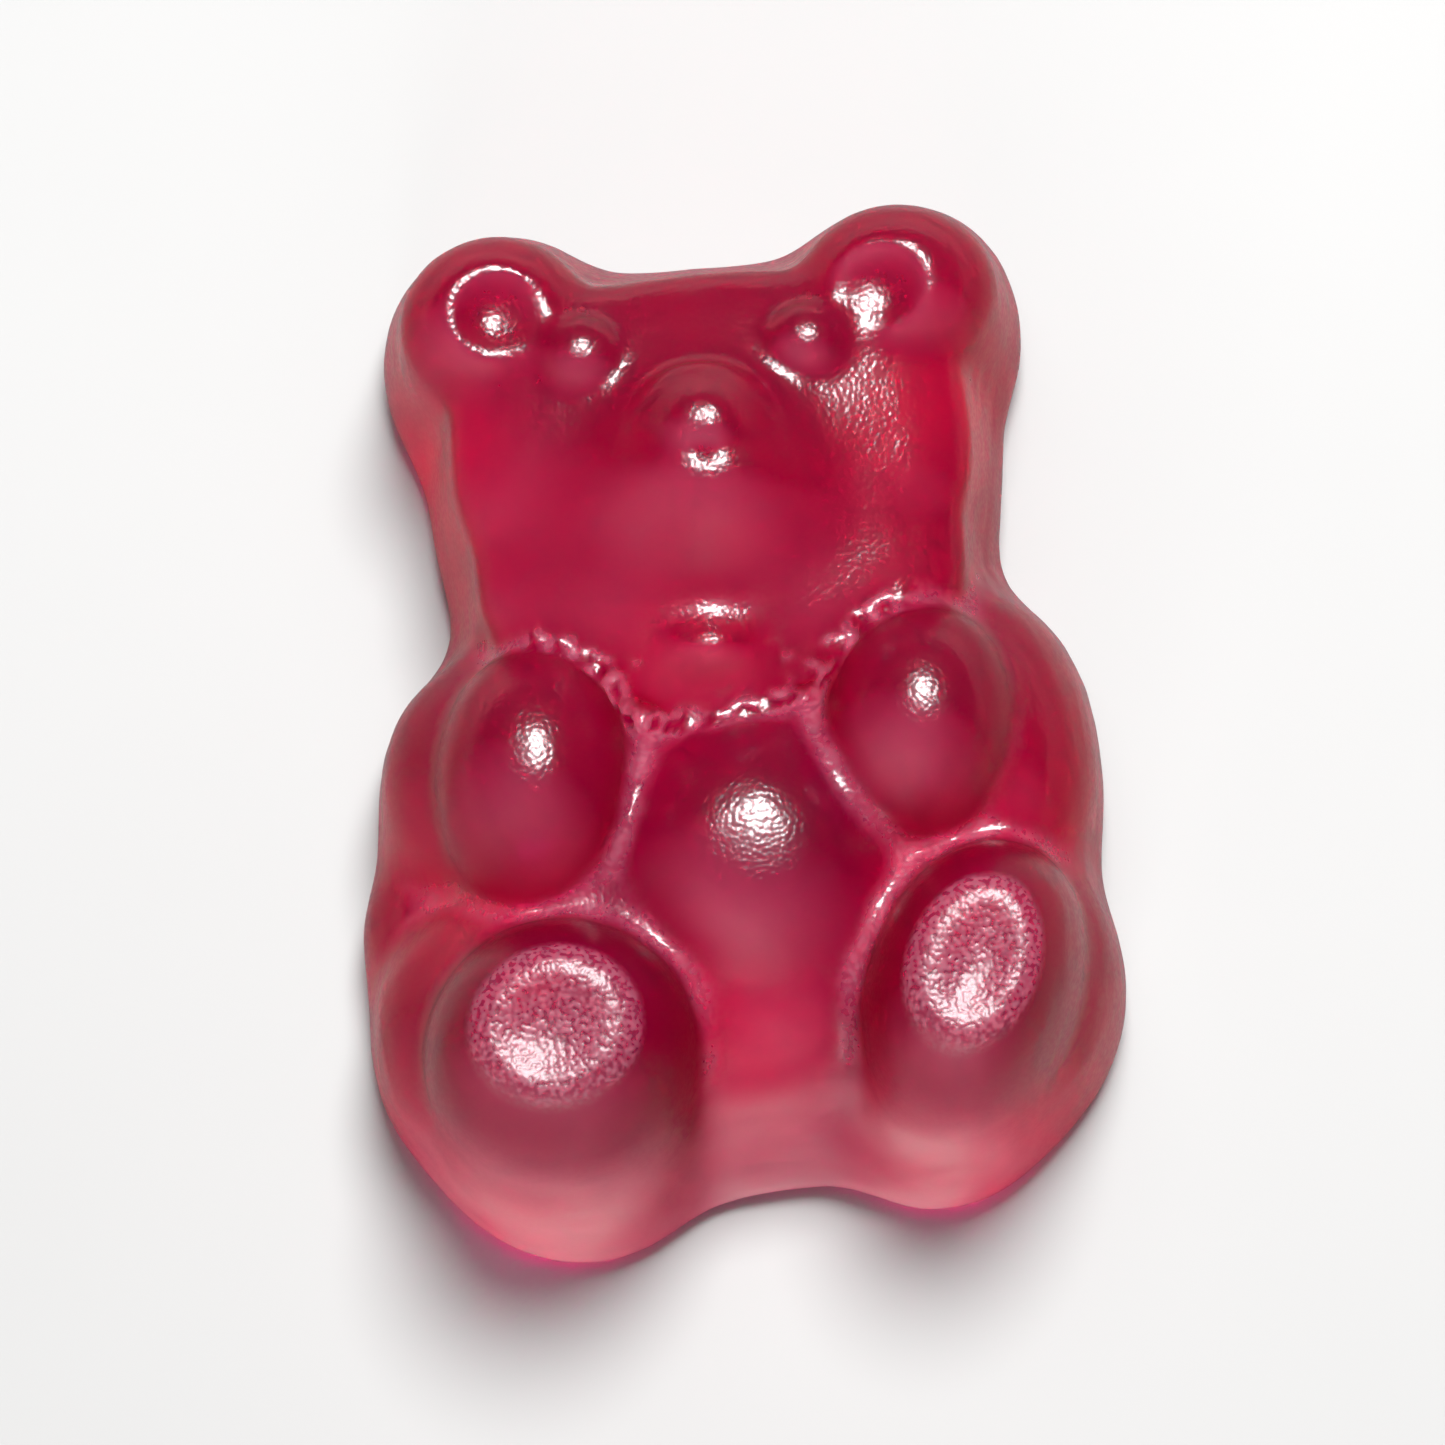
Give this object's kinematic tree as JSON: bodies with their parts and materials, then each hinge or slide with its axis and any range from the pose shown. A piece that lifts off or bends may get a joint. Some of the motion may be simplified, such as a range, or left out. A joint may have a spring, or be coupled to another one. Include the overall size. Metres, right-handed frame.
{
  "type": "gummy bear",
  "caption": "Translucent raspberry-red gummy sweet cast as a sitting bear with round ears, muzzle, paws and raised feet, lying on its flat back.",
  "frame": {"origin": "on the flat back, at the centre of the bounding box of the outline", "axes": "+Z out of the flat back toward the front of the bear, so the face looks up; +Y from the feet to the ears; +X toward the picture's right side"},
  "size_m": [0.0156, 0.0216, 0.0088],
  "materials": {
    "gummy": "translucent raspberry-red gelatine gel with a satin, finely frosted skin"
  },
  "bodies": {
    "root": {"gummy_bear": "gummy"}
  },
  "joints": []
}
